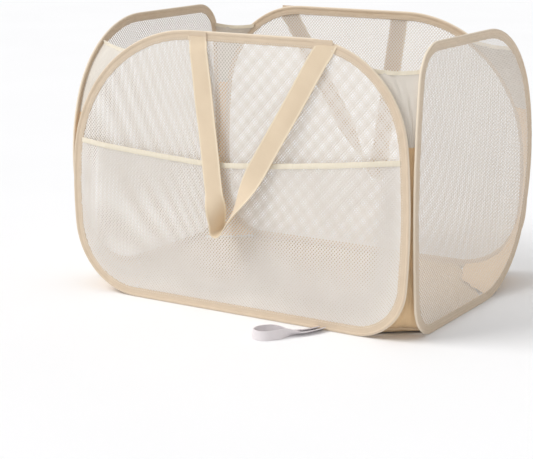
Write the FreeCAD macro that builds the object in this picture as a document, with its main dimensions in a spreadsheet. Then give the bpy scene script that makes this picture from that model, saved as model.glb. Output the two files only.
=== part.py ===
import FreeCAD, Part

"""A collapsible laundry bag. Four net panels stand in a box, each stretched in a closed loop of spring wire
that is sewn into a folded fabric binding. The long panels are the front and the back, the short ones the two
sides. The bag is the same after half a turn about its vertical axis: at the front right and back left the
loops stand upright and close together, at the front left and back right they bow away from each other.

The origin is on the floor under the middle of the bag. X runs to the right along the front, Y to the back.
All sizes are in millimetres and angles in degrees.
"""

import math
import os

import Sketcher

doc = FreeCAD.newDocument("LaundryBag")
Vector = FreeCAD.Vector
Rotation = FreeCAD.Rotation
Placement = FreeCAD.Placement
UP = Vector(0, 0, 1)

# ---------------------------------------------------------------------------------------------------------
# Driving dimensions
# ---------------------------------------------------------------------------------------------------------
SIZES = (
    # the box that the four loops stand in
    ("half_length", 272, "from the middle to the wire plane of a side panel"),
    ("half_width", 195, "from the middle to the wire plane of the front or back panel"),
    ("height", 385, "outer height of every loop"),
    ("play", 0.3, "gap between pieces that fold past each other"),
    # a loop's outline: radii at its upright end and at its bowed end
    ("long_upright_shoulder", 145, "top corner radius"),
    ("long_upright_side", 1100, "radius of the slightly bowed side"),
    ("long_upright_widest", 150, "height at which the side stands out most"),
    ("long_upright_corner", 75, "bottom corner radius"),
    ("long_bowed_shoulder", 205, "top corner radius"),
    ("long_bowed_side", 650, "radius of the bowed side"),
    ("long_bowed_widest", 145, "height at which the side stands out most"),
    ("long_bowed_corner", 105, "bottom corner radius"),
    ("short_upright_shoulder", 50, "top corner radius"),
    ("short_upright_side", 1300, "radius of the slightly bowed side"),
    ("short_upright_widest", 200, "height at which the side stands out most"),
    ("short_upright_corner", 50, "bottom corner radius"),
    ("short_bowed_shoulder", 160, "top corner radius"),
    ("short_bowed_side", 260, "radius of the bowed side"),
    ("short_bowed_widest", 190, "height at which the side stands out most"),
    ("short_bowed_corner", 145, "bottom corner radius"),
    # wire, binding and net
    ("wire_diameter", 2, "spring wire"),
    ("wire_inset", 2.5, "from the binding's outer edge to the middle of the wire"),
    ("wire_room", 0.2, "room round the wire inside the binding"),
    ("sleeve_room", 0.02, "room between the wire and the bore of its sleeve"),
    ("sleeve_diameter", 3.2, "crimp sleeve that joins the wire's ends"),
    ("sleeve_length", 26, "length of the crimp sleeve"),
    ("bead_thickness", 4.4, "binding over the wire"),
    ("bead_width", 5, "stretch of the binding that holds the wire"),
    ("flange_thickness", 2.2, "binding over the net's edge"),
    ("binding_width", 13, "whole visible width of the binding"),
    ("net_thickness", 1, "net with its knots"),
    ("net_inset", 5.3, "from the binding's outer edge to the net's edge"),
    ("overcut", 1, "how far a cut runs past the edge that it opens"),
    # cloth between the loops
    ("cloth_thickness", 0.8, "gusset and tape cloth"),
    ("cloth_gap", 0.5, "gap between a binding and the cloth inside it"),
    ("web_inset", 6.5, "from a loop's outer edge to the seam of the corner cloth"),
    ("lower_gusset_foot", 8, "height of the lower edge of the lower gussets"),
    ("tape_bottom", 100, "height of the lower end of the corner tapes"),
    ("tape_top", 255, "height of the upper end of the corner tapes"),
    ("gusset_below_rim", 37, "from the rim down to the upper edge of the upper gussets"),
    ("web_seam", 1, "gap between the corner cloths, one above the other"),
    ("hem_gap", 0.1, "gap between an upper gusset and its hem"),
    ("hem_width", 5, "height of the hem on an upper gusset"),
    ("hem_thickness", 1.6, "thickness of the hem on an upper gusset"),
    ("bottom_level", 3, "height of the cloth bottom's underside above the floor"),
    ("bottom_thickness", 1.2, "thickness of the cloth bottom"),
    # pocket on the front panel
    ("pocket_margin", 1, "from the binding's inner edge to the pocket's edge"),
    ("pocket_gap", 0.2, "gap between the front net and the pocket's edge"),
    ("pocket_depth", 10, "how far the pocket stands off the front net"),
    ("pocket_net", 1.2, "thickness of the pocket's net"),
    ("pocket_top", 212, "height of the pocket's mouth"),
    ("pocket_hem_width", 7, "height of the elastic hem"),
    ("pocket_hem_thickness", 1.6, "thickness of the elastic hem"),
    # handles
    ("handle_left", -50, "middle of the left sewn end"),
    ("handle_right", 142, "middle of the right sewn end"),
    ("handle_fold", -2, "middle of the lowest point of the handle"),
    ("handle_drop", 253, "length that the handle hangs down"),
    ("handle_width", 28, "width of the webbing"),
    ("handle_thickness", 1.6, "thickness of the webbing"),
    ("handle_below_rim", 14, "from the rim down to the line where the handle bends"),
    ("handle_off_bead", 2.8, "from the binding's face out to the line where the handle bends"),
    ("handle_off_pocket", 2, "gap between the hanging handle and the pocket's hem"),
    ("handle_start", 1, "from the bending line to the free stretch and to the sewn end"),
    ("patch_height", 10, "height of a sewn end"),
    ("patch_thickness", 1.2, "thickness of a sewn end"),
    # storage elastic
    ("elastic_width", 12.6, "width of the elastic band, which stands on its edge"),
    ("elastic_thickness", 1.6, "thickness of the elastic band"),
    ("elastic_lift", 0.2, "height of the band's lower edge above the floor"),
    ("elastic_tab_middle", 141.5, "middle of the sewn tab, along the front"),
    ("elastic_tab_length", 24, "length of the sewn tab"),
)

sizes = doc.addObject("Spreadsheet::Sheet", "Sizes")
for row, (alias, value, meaning) in enumerate(SIZES, start=1):
    sizes.set(f"A{row}", alias)
    sizes.set(f"B{row}", str(value))
    sizes.set(f"C{row}", meaning)
    sizes.setAlias(f"B{row}", alias)
doc.recompute()


def size(expression):
    """The value of an expression on the sheet's cells, such as "Sizes.height / 2"."""
    return float(sizes.evalExpression(expression))


# The side panels fold about the inner faces of the front and back panels' beads.
HINGE_INSET = "(Sizes.bead_thickness / 2 + Sizes.play)"
LOOP_GAP = "(Sizes.bead_thickness / 2 + 2 * Sizes.play)"
LOOPS = {
    # the loop's half length, and the kind of end on its left and on its right, seen from outside the bag
    "long": (f"(Sizes.half_length - {LOOP_GAP})", {-1: "bowed", 1: "upright"}),
    "short": (f"(Sizes.half_width - {LOOP_GAP})", {-1: "upright", 1: "bowed"}),
}
# ---------------------------------------------------------------------------------------------------------
# Bodies, sketches and features
# ---------------------------------------------------------------------------------------------------------


def new_body(name):
    body = doc.addObject("PartDesign::Body", name)
    body.Label = name
    return body


def new_sketch(body, plane, name):
    """A sketch on one of the body's origin planes. On XZ_Plane its x is X, its y is Z and it faces -Y."""
    sketch = body.newObject("Sketcher::SketchObject", name)
    origin_plane = [f for f in body.Origin.OriginFeatures if f.Role == plane][0]
    sketch.AttachmentSupport = [(origin_plane, "")]
    sketch.MapMode = "FlatFace"
    return sketch


def lift(sketch, distance):
    """Move a sketch out of its plane, to the side that it faces."""
    sketch.setExpression(".AttachmentOffset.Base.z", distance)


def bind(sketch, constraint, expression):
    """Add a dimension and tie it to the sheet."""
    index = sketch.addConstraint(constraint)
    sketch.setExpression(f"Constraints[{index}]", expression)


def polygon(sketch, corners):
    """A closed polygon whose corners are pairs of expressions."""
    points = [Vector(size(x), size(y), 0) for x, y in corners]
    first = sketch.GeometryCount
    for start, end in zip(points, points[1:] + points[:1]):
        sketch.addGeometry(Part.LineSegment(start, end), False)
    count = len(corners)
    for k in range(count):
        following = first + (k + 1) % count
        sketch.addConstraint(Sketcher.Constraint("Coincident", first + k, 2, following, 1))
    for k, (x, y) in enumerate(corners):
        across = Sketcher.Constraint("DistanceX", -1, 1, first + k, 1, points[k].x)
        bind(sketch, across, x)
        upward = Sketcher.Constraint("DistanceY", -1, 1, first + k, 1, points[k].y)
        bind(sketch, upward, y)


def circle(sketch, x, y, radius):
    """A circle whose centre and radius are expressions."""
    centre = Vector(size(x), size(y), 0)
    index = sketch.addGeometry(Part.Circle(centre, Vector(0, 0, 1), size(radius)), False)
    bind(sketch, Sketcher.Constraint("DistanceX", -1, 1, index, 3, centre.x), x)
    bind(sketch, Sketcher.Constraint("DistanceY", -1, 1, index, 3, centre.y), y)
    bind(sketch, Sketcher.Constraint("Radius", index, size(radius)), radius)


def extrude(body, sketch, name, kind, length, symmetric=True):
    """Pad or pocket a sketch to both sides of its plane, or to the side that it faces."""
    feature = body.newObject(kind, name)
    feature.Profile = sketch
    feature.SideType = "Symmetric" if symmetric else "One side"
    feature.setExpression("Length", length)
    return feature


def pad(body, sketch, name, length, symmetric=True):
    return extrude(body, sketch, name, "PartDesign::Pad", length, symmetric)


def pocket(body, sketch, name, length):
    return extrude(body, sketch, name, "PartDesign::Pocket", length)


# ---------------------------------------------------------------------------------------------------------
# The outline of a loop
# ---------------------------------------------------------------------------------------------------------
class LoopEnd:
    """One end of a loop's outline: a corner arc, a side arc and a shoulder arc, each tangent to the next.

    Measured from the loop's middle outwards and from the floor up. An inset keeps the centres and shortens
    the radii.
    """

    def __init__(self, loop, side, inset="0"):
        self.half, kinds = LOOPS[loop]
        self.side = side
        prefix = f"Sizes.{loop}_{kinds[side]}"
        self.inset = inset
        self.expressions = {part: f"{prefix}_{part}" for part in ("shoulder", "side", "widest", "corner")}
        radius = {part: size(text) for part, text in self.expressions.items()}
        self.radii = {part: radius[part] - size(inset) for part in ("shoulder", "side", "corner")}
        side_middle = size(self.half) - radius["side"]
        widest = radius["widest"]
        shoulder_level = size("Sizes.height") - radius["shoulder"]
        shoulder_rise = shoulder_level - widest
        shoulder_run = math.sqrt((radius["side"] - radius["shoulder"]) ** 2 - shoulder_rise**2)
        corner_level = radius["corner"]
        corner_rise = corner_level - widest
        corner_run = math.sqrt((radius["side"] - radius["corner"]) ** 2 - corner_rise**2)
        self.centres = {
            "shoulder": (side_middle + shoulder_run, shoulder_level),
            "side": (side_middle, widest),
            "corner": (side_middle + corner_run, corner_level),
        }
        self.shoulder_angle = math.atan2(shoulder_rise, shoulder_run)
        self.corner_angle = math.atan2(corner_rise, corner_run)

    def out_at(self, level):
        """How far the outline stands out from the loop's middle at a height."""
        shoulder_start = self.centres["side"][1] + self.radii["side"] * math.sin(self.shoulder_angle)
        corner_end = self.centres["side"][1] + self.radii["side"] * math.sin(self.corner_angle)
        part = "shoulder" if level > shoulder_start else "corner" if level < corner_end else "side"
        middle, centre_level = self.centres[part]
        return middle + math.sqrt(self.radii[part] ** 2 - (level - centre_level) ** 2)

    def arc(self, part, start, end):
        """An arc from one angle to another, counted from straight outwards and turning upwards."""
        middle, level = self.centres[part]
        if self.side < 0:
            start, end = math.pi - end, math.pi - start
        whole = Part.Circle(Vector(self.side * middle, level, 0), Vector(0, 0, 1), self.radii[part])
        return Part.ArcOfCircle(whole, start, end)


def outline(sketch, loop, inset):
    """A loop's closed outline, inset evenly, drawn from the left end of its bottom line to the right."""
    left = LoopEnd(loop, -1, inset)
    right = LoopEnd(loop, 1, inset)
    bottom = size(inset)
    top = size("Sizes.height") - bottom
    quarter = math.pi / 2
    left_foot = Vector(-left.centres["corner"][0], bottom, 0)
    right_foot = Vector(right.centres["corner"][0], bottom, 0)
    right_head = Vector(right.centres["shoulder"][0], top, 0)
    left_head = Vector(-left.centres["shoulder"][0], top, 0)
    edges = [
        Part.LineSegment(left_foot, right_foot),
        right.arc("corner", -quarter, right.corner_angle),
        right.arc("side", right.corner_angle, right.shoulder_angle),
        right.arc("shoulder", right.shoulder_angle, quarter),
        Part.LineSegment(right_head, left_head),
        left.arc("shoulder", left.shoulder_angle, quarter),
        left.arc("side", left.corner_angle, left.shoulder_angle),
        left.arc("corner", -quarter, left.corner_angle),
    ]
    first = sketch.GeometryCount
    sketch.addGeometry(edges, False)
    count = len(edges)
    for k in range(count):
        following = first + (k + 1) % count
        sketch.addConstraint(Sketcher.Constraint("Tangent", first + k, 2, following, 1))
    bottom_line, top_line = first, first + 4
    sketch.addConstraint(Sketcher.Constraint("Horizontal", bottom_line))
    sketch.addConstraint(Sketcher.Constraint("Horizontal", top_line))
    bind(sketch, Sketcher.Constraint("DistanceY", -1, 1, bottom_line, 1, bottom), inset)
    bind(sketch, Sketcher.Constraint("DistanceY", -1, 1, top_line, 1, top), f"Sizes.height - ({inset})")
    right_arcs = {"corner": 1, "side": 2, "shoulder": 3}
    left_arcs = {"shoulder": 5, "side": 6, "corner": 7}
    for end, arcs in ((right, right_arcs), (left, left_arcs)):
        for part, step in arcs.items():
            radius = Sketcher.Constraint("Radius", first + step, end.radii[part])
            bind(sketch, radius, f"{end.expressions[part]} - ({inset})")
        middle, level = end.centres["side"]
        side_arc = first + arcs["side"]
        across = Sketcher.Constraint("DistanceX", -1, 1, side_arc, 3, end.side * middle)
        bind(sketch, across, f"{end.side} * ({end.half} - {end.expressions['side']})")
        upward = Sketcher.Constraint("DistanceY", -1, 1, side_arc, 3, level)
        bind(sketch, upward, end.expressions["widest"])


# ---------------------------------------------------------------------------------------------------------
# The four panels
# ---------------------------------------------------------------------------------------------------------
PANELS = {
    # the loop, the axis along which the panel stands off the middle, the side it stands on, and its turn
    "front": ("long", "y", -1, 0),
    "right": ("short", "x", 1, 90),
    "back": ("long", "y", 1, 180),
    "left": ("short", "x", -1, 270),
}
STAND_OFF = {"long": "Sizes.half_width", "short": "Sizes.half_length"}


def panel_place(panel):
    loop, axis, direction, turn = PANELS[panel]
    offset = direction * size(STAND_OFF[loop])
    base = Vector(offset, 0, 0) if axis == "x" else Vector(0, offset, 0)
    return Placement(base, Rotation(UP, turn))


def stand_in_panel(body, panel):
    """Place a body drawn in a panel's own frame, and tie its place to the sheet."""
    loop, axis, direction, _ = PANELS[panel]
    body.Placement = panel_place(panel)
    body.setExpression(f".Placement.Base.{axis}", f"{direction} * {STAND_OFF[loop]}")


def wire_loop(panel):
    """The closed spring wire."""
    body = new_body(f"{panel}_wire_loop")
    spine = new_sketch(body, "XZ_Plane", f"{panel}_wire_spine")
    outline(spine, PANELS[panel][0], "Sizes.wire_inset")
    section = new_sketch(body, "YZ_Plane", f"{panel}_wire_section")
    circle(section, "0", "Sizes.wire_inset", "Sizes.wire_diameter / 2")
    sweep = body.newObject("PartDesign::AdditivePipe", f"{panel}_wire")
    sweep.Profile = section
    sweep.Spine = (spine, [])
    stand_in_panel(body, panel)
    return body


def sleeve_middle(panel):
    """The middle of the straight bottom of a panel's loop."""
    loop = PANELS[panel][0]
    return (LoopEnd(loop, 1).centres["corner"][0] - LoopEnd(loop, -1).centres["corner"][0]) / 2


def wire_sleeve(panel):
    """The crimp sleeve on the straight bottom of the loop, round the wire's two ends."""
    body = new_body(f"{panel}_wire_sleeve")
    section = new_sketch(body, "YZ_Plane", f"{panel}_sleeve_section")
    circle(section, "0", "Sizes.wire_inset", "Sizes.sleeve_diameter / 2")
    circle(section, "0", "Sizes.wire_inset", "Sizes.wire_diameter / 2 + Sizes.sleeve_room")
    lift(section, str(sleeve_middle(panel)))
    pad(body, section, f"{panel}_sleeve", "Sizes.sleeve_length")
    stand_in_panel(body, panel)
    return body


def binding(panel):
    """Tape folded over the wire and the net's edge: a bead, a thin flange and a slot between its plies."""
    loop = PANELS[panel][0]
    body = new_body(f"{panel}_binding")
    bead = new_sketch(body, "XZ_Plane", f"{panel}_bead_outline")
    outline(bead, loop, "0")
    outline(bead, loop, "Sizes.bead_width")
    pad(body, bead, f"{panel}_bead", "Sizes.bead_thickness")
    flange = new_sketch(body, "XZ_Plane", f"{panel}_flange_outline")
    outline(flange, loop, "Sizes.bead_width / 2")
    outline(flange, loop, "Sizes.binding_width")
    pad(body, flange, f"{panel}_flange", "Sizes.flange_thickness")
    slot = new_sketch(body, "XZ_Plane", f"{panel}_slot_outline")
    outline(slot, loop, "Sizes.wire_inset")
    outline(slot, loop, "(Sizes.binding_width + Sizes.overcut)")
    pocket(body, slot, f"{panel}_slot", "Sizes.net_thickness + Sizes.wire_room")
    channel = new_sketch(body, "XZ_Plane", f"{panel}_channel_outline")
    outline(channel, loop, "(Sizes.wire_inset - Sizes.wire_diameter / 2 - Sizes.wire_room)")
    outline(channel, loop, "(Sizes.wire_inset + Sizes.wire_diameter / 2 + Sizes.wire_room)")
    pocket(body, channel, f"{panel}_channel", "Sizes.wire_diameter + 2 * Sizes.wire_room")
    cavity = new_sketch(body, "XZ_Plane", f"{panel}_sleeve_cavity")
    middle = sleeve_middle(panel)
    start = f"({middle} - Sizes.sleeve_length / 2 - Sizes.wire_room)"
    stop = f"({middle} + Sizes.sleeve_length / 2 + Sizes.wire_room)"
    low = "(Sizes.wire_inset - Sizes.sleeve_diameter / 2 - Sizes.wire_room)"
    high = "(Sizes.wire_inset + Sizes.sleeve_diameter / 2 + Sizes.wire_room)"
    polygon(cavity, ((start, low), (stop, low), (stop, high), (start, high)))
    pocket(body, cavity, f"{panel}_cavity", "Sizes.sleeve_diameter + 2 * Sizes.wire_room")
    stand_in_panel(body, panel)
    return body


def net(panel):
    """The net, with its edge inside the binding."""
    body = new_body(f"{panel}_net")
    sheet = new_sketch(body, "XZ_Plane", f"{panel}_net_outline")
    outline(sheet, PANELS[panel][0], "Sizes.net_inset")
    pad(body, sheet, f"{panel}_net_sheet", "Sizes.net_thickness")
    stand_in_panel(body, panel)
    return body


pieces = []
for panel in PANELS:
    pieces += [wire_loop(panel), wire_sleeve(panel), binding(panel), net(panel)]

# ---------------------------------------------------------------------------------------------------------
# The pocket on the front panel
# ---------------------------------------------------------------------------------------------------------
POCKET_FOOT = "(Sizes.net_thickness / 2 + Sizes.pocket_gap)"
POCKET_FACE = f"({POCKET_FOOT} + Sizes.pocket_depth)"
POCKET_INSET = "(Sizes.binding_width + Sizes.pocket_margin)"
HEM_TOP = "(Sizes.pocket_top + Sizes.pocket_hem_width)"


def cut_between(body, name, low, high):
    """Cut away all of a body between two heights."""
    sketch = new_sketch(body, "XZ_Plane", f"{name}_outline")
    left, right = "-Sizes.half_length", "Sizes.half_length"
    polygon(sketch, ((left, low), (right, low), (right, high), (left, high)))
    pocket(body, sketch, name, "2 * Sizes.half_width")


def pocket_net():
    """A net tray: a front wall and a low wall round its sides and bottom, open at the mouth."""
    body = new_body("pocket_net")
    tray = new_sketch(body, "XZ_Plane", "pocket_outline")
    outline(tray, "long", POCKET_INSET)
    lift(tray, POCKET_FOOT)
    pad(body, tray, "pocket_block", "Sizes.pocket_depth", symmetric=False)
    hollow = new_sketch(body, "XZ_Plane", "pocket_hollow_outline")
    outline(hollow, "long", f"({POCKET_INSET} + Sizes.pocket_net)")
    lift(hollow, f"{POCKET_FACE} - Sizes.pocket_net")
    depth = "(Sizes.pocket_depth + Sizes.overcut)"
    extrude(body, hollow, "pocket_hollow", "PartDesign::Pocket", depth, symmetric=False)
    cut_between(body, "pocket_mouth", "Sizes.pocket_top", "Sizes.height")
    stand_in_panel(body, "front")
    return body


def pocket_hem():
    """The elastic tape along the pocket's mouth."""
    body = new_body("pocket_hem")
    band = new_sketch(body, "XZ_Plane", "pocket_hem_outline")
    outline(band, "long", POCKET_INSET)
    lift(band, f"{POCKET_FACE} - Sizes.pocket_hem_thickness")
    pad(body, band, "pocket_hem_sheet", "Sizes.pocket_hem_thickness", symmetric=False)
    cut_between(body, "pocket_hem_below", "0", "Sizes.pocket_top")
    cut_between(body, "pocket_hem_above", HEM_TOP, "Sizes.height")
    stand_in_panel(body, "front")
    return body


pieces += [pocket_net(), pocket_hem()]

# ---------------------------------------------------------------------------------------------------------
# The two handles
# ---------------------------------------------------------------------------------------------------------
HANDLE_ENDS = {"left": "Sizes.handle_left", "right": "Sizes.handle_right"}
HANDLE_LEVEL = "(Sizes.height - Sizes.handle_below_rim)"
HANDLE_STAND_OFF = "(Sizes.bead_thickness / 2 + Sizes.handle_off_bead)"
HANDLE_OVER_HEM = f"({POCKET_FACE} + Sizes.handle_off_pocket + Sizes.handle_thickness / 2)"
HANDLE_LEAN = f"atan(({HANDLE_OVER_HEM} - {HANDLE_STAND_OFF}) / ({HANDLE_LEVEL} - {HEM_TOP}))"


def handle_strap(panel):
    """Webbing that hangs in a V from the line where it bends, and leans out over the pocket's hem."""
    body = new_body(f"{panel}_handle_strap")
    for end, middle in HANDLE_ENDS.items():
        leg = new_sketch(body, "XZ_Plane", f"{panel}_handle_{end}_leg")
        lean = f"atan((Sizes.handle_fold - {middle}) / Sizes.handle_drop)"
        half = f"(Sizes.handle_width / 2 / cos({lean}))"
        start, drop = "-Sizes.handle_start", "-Sizes.handle_drop"
        corners = (
            (f"{middle} - {half}", start),
            (f"Sizes.handle_fold - {half}", drop),
            (f"Sizes.handle_fold + {half}", drop),
            (f"{middle} + {half}", start),
        )
        polygon(leg, corners)
        pad(body, leg, f"{panel}_handle_{end}", "Sizes.handle_thickness")
    bend = Vector(0, -size(HANDLE_STAND_OFF), size(HANDLE_LEVEL))
    hang = Placement(bend, Rotation(Vector(1, 0, 0), -size(HANDLE_LEAN)))
    body.Placement = panel_place(panel).multiply(hang)
    return body


def face_patch(name, panel, middle, half_length, low, high):
    """A patch of tape sewn flat on the outer face of a binding's bead."""
    body = new_body(name)
    sketch = new_sketch(body, "XZ_Plane", f"{name}_outline")
    left, right = f"{middle} - {half_length}", f"{middle} + {half_length}"
    polygon(sketch, ((left, low), (right, low), (right, high), (left, high)))
    lift(sketch, "Sizes.bead_thickness / 2")
    pad(body, sketch, f"{name}_tape", "Sizes.patch_thickness", symmetric=False)
    stand_in_panel(body, panel)
    return body


def handle_end(panel, end):
    """A sewn end of the handle, on the binding at the rim."""
    low = f"({HANDLE_LEVEL} + Sizes.handle_start)"
    high = f"({low} + Sizes.patch_height)"
    name = f"{panel}_handle_{end}_end"
    return face_patch(name, panel, HANDLE_ENDS[end], "Sizes.handle_width / 2", low, high)


for panel in ("front", "back"):
    pieces.append(handle_strap(panel))
    pieces += [handle_end(panel, end) for end in HANDLE_ENDS]

# ---------------------------------------------------------------------------------------------------------
# Cloth between the loops at the four corners
# ---------------------------------------------------------------------------------------------------------
CORNERS = {
    # the long panel and the side of it, then the short panel and the side of it, that meet at the corner
    "front_right": (("front", 1), ("right", -1)),
    "front_left": (("front", -1), ("left", 1)),
    "back_left": (("back", 1), ("left", -1)),
    "back_right": (("back", -1), ("right", 1)),
}
GUSSET_TOP = "(Sizes.height - Sizes.gusset_below_rim)"


def seam_point(panel, side, level):
    """The point just inside a panel's binding, on the seam of the corner cloth, at a height."""
    end = LoopEnd(PANELS[panel][0], side, "Sizes.web_inset")
    inward = size("Sizes.bead_thickness / 2 + Sizes.cloth_gap")
    return panel_place(panel).multVec(Vector(side * end.out_at(level), inward, level))


def inwards(corner):
    """The level direction from a corner to the middle of the bag."""
    (long_panel, long_side), (short_panel, _) = CORNERS[corner]
    across = panel_place(long_panel).multVec(Vector(long_side, 0, 0)).x
    along = panel_place(long_panel).Base.y
    return Vector(-math.copysign(1, across), -math.copysign(1, along), 0).normalize()


def solid_piece(name, shape):
    piece = doc.addObject("Part::Feature", name)
    piece.Label = name
    piece.Shape = shape
    piece.Placement = Placement()
    return piece


def corner_cloth(name, corner, low, high):
    """Cloth stretched between the two seams at a corner, from one height to another."""
    edges = []
    for panel, side in CORNERS[corner]:
        points = [seam_point(panel, side, level) for level in (low, (low + high) / 2, high)]
        edges.append(Part.Arc(*points).toShape())
    sheet = Part.makeRuledSurface(edges[0], edges[1])
    return solid_piece(name, sheet.extrude(inwards(corner) * size("Sizes.cloth_thickness")))


def gusset_hem(name, corner):
    """The elastic tape along an upper gusset's top edge, from loop to loop."""
    low = size(f"{GUSSET_TOP} + Sizes.hem_gap")
    rise = UP * size("Sizes.hem_width")
    start, end = [seam_point(panel, side, low) for panel, side in CORNERS[corner]]
    face = Part.Face(Part.makePolygon([start, end, end + rise, start + rise, start]))
    return solid_piece(name, face.extrude(inwards(corner) * size("Sizes.hem_thickness")))


seam = size("Sizes.web_seam")
foot = size("Sizes.lower_gusset_foot")
tape_bottom = size("Sizes.tape_bottom")
tape_top = size("Sizes.tape_top")
gusset_top = size(GUSSET_TOP)
for corner in CORNERS:
    pieces.append(corner_cloth(f"{corner}_lower_gusset", corner, foot, tape_bottom - seam))
    pieces.append(corner_cloth(f"{corner}_tape", corner, tape_bottom, tape_top))
    pieces.append(corner_cloth(f"{corner}_upper_gusset", corner, tape_top + seam, gusset_top))
    pieces.append(gusset_hem(f"{corner}_gusset_hem", corner))

# ---------------------------------------------------------------------------------------------------------
# The cloth bottom
# ---------------------------------------------------------------------------------------------------------


def cloth_bottom():
    """A sheet between the straight bottoms of the four loops, with its corners cut off."""
    body = new_body("cloth_bottom")
    sketch = new_sketch(body, "XY_Plane", "cloth_bottom_outline")
    clear = "(Sizes.bead_thickness / 2 + Sizes.cloth_gap)"
    edge_y = f"(Sizes.half_width - {clear})"
    edge_x = f"(Sizes.half_length - {clear})"
    ends = {(loop, side): LoopEnd(loop, side).centres["corner"][0] for loop in LOOPS for side in (-1, 1)}
    corners = (
        (-ends["long", -1], f"-{edge_y}"),
        (ends["long", 1], f"-{edge_y}"),
        (edge_x, -ends["short", -1]),
        (edge_x, ends["short", 1]),
        (ends["long", -1], edge_y),
        (-ends["long", 1], edge_y),
        (f"-{edge_x}", ends["short", -1]),
        (f"-{edge_x}", -ends["short", 1]),
    )
    polygon(sketch, [(str(x), str(y)) for x, y in corners])
    lift(sketch, "Sizes.bottom_level")
    pad(body, sketch, "cloth_bottom_sheet", "Sizes.bottom_thickness", symmetric=False)
    return body


pieces.append(cloth_bottom())

# ---------------------------------------------------------------------------------------------------------
# The storage elastic, a band sewn to the foot of the front binding, lying in a loop on the floor
# ---------------------------------------------------------------------------------------------------------
ELASTIC_EXIT = -size("Sizes.half_width + Sizes.bead_thickness / 2 + Sizes.patch_thickness")
ELASTIC_ROUTE = (
    (137, ELASTIC_EXIT),
    (133, -213),
    (118, -229),
    (97, -240),
    (81, -256),
    (82, -277),
    (102, -281),
    (116, -263),
    (124, -241),
    (140, -221),
    (146, ELASTIC_EXIT),
)
ARC_SHARE = 0.45


def rounded_path(points):
    """Straight runs joined by tangent arcs, each as large as 0.45 of its shorter run allows."""
    edges = []
    start = points[0]
    for before, point, after in zip(points, points[1:], points[2:]):
        arriving = (point - before).normalize()
        leaving = (after - point).normalize()
        turn = arriving.getAngle(leaving)
        reach = ARC_SHARE * min((point - before).Length, (after - point).Length)
        radius = reach / math.tan(turn / 2)
        print(f"elastic bend: turn {math.degrees(turn):.0f} degrees, radius {radius:.1f} mm")
        arc_start = point - arriving * reach
        arc_end = point + leaving * reach
        towards_centre = (leaving - arriving).normalize()
        centre = point + towards_centre * math.hypot(reach, radius)
        arc_middle = centre - towards_centre * radius
        edges.append(Part.LineSegment(start, arc_start).toShape())
        edges.append(Part.Arc(arc_start, arc_middle, arc_end).toShape())
        start = arc_end
    edges.append(Part.LineSegment(start, points[-1]).toShape())
    return Part.Wire(edges)


def storage_elastic():
    width = size("Sizes.elastic_width")
    thickness = size("Sizes.elastic_thickness")
    level = size("Sizes.elastic_lift")
    points = [Vector(x, y, level) for x, y in ELASTIC_ROUTE]
    path = rounded_path(points)
    first_run = (points[1] - points[0]).normalize()
    across = first_run.cross(UP) * (thickness / 2)
    rise = UP * width
    start = points[0]
    section = [start - across, start + across, start + across + rise, start - across + rise, start - across]
    band = path.makePipeShell([Part.makePolygon(section)], True, False)
    expected = width * thickness * path.Length
    print(f"elastic: path {path.Length:.1f} mm, volume {band.Volume:.0f}, expected {expected:.0f}")
    tab_length = size("Sizes.elastic_tab_length")
    tab_start = size("Sizes.elastic_tab_middle") - tab_length / 2
    tab_corner = Vector(tab_start, ELASTIC_EXIT, level)
    behind_exit = Part.makeBox(tab_length, size("Sizes.patch_thickness"), width, tab_corner)
    return solid_piece("storage_elastic", band.cut(behind_exit))


pieces.append(storage_elastic())
pieces.append(
    face_patch(
        "storage_elastic_tab",
        "front",
        "Sizes.elastic_tab_middle",
        "Sizes.elastic_tab_length / 2",
        "Sizes.elastic_lift",
        "(Sizes.elastic_lift + Sizes.elastic_width)",
    )
)

# ---------------------------------------------------------------------------------------------------------
# Check and write the pieces
# ---------------------------------------------------------------------------------------------------------
doc.recompute()
failed = [thing.Name for thing in doc.Objects if {"Invalid", "Error"} & set(thing.State)]
if failed:
    raise RuntimeError(f"these objects failed: {failed}")
for piece in pieces:
    if piece.Shape.isNull() or not piece.Shape.isValid() or not piece.Shape.Solids:
        raise RuntimeError(f"{piece.Label} has no valid solid")
os.makedirs("parts", exist_ok=True)
for piece in pieces:
    piece.Shape.exportStep(os.path.join("parts", f"{piece.Label}.step"))
print(f"{len(pieces)} pieces written")
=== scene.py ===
import math

import bpy
import numpy as np
from mathutils import Matrix, Vector, noise


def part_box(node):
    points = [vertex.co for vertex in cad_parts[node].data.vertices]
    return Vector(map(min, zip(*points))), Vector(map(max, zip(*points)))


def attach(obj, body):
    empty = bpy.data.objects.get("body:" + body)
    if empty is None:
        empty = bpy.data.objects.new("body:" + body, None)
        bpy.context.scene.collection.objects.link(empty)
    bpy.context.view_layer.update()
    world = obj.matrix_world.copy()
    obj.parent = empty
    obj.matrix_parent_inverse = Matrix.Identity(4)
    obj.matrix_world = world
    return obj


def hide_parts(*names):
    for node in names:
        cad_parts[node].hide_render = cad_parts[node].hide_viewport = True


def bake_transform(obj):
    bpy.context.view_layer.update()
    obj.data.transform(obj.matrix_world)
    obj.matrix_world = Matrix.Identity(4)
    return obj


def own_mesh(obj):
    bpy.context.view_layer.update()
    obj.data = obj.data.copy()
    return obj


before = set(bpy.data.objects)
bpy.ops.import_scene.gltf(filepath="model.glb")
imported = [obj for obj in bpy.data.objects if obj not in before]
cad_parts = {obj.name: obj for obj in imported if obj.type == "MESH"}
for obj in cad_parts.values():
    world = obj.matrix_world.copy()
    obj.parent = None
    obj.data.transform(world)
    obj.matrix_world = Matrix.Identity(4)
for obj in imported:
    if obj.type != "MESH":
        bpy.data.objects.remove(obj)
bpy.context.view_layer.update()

bpy.ops.object.select_all(action="DESELECT")

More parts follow.
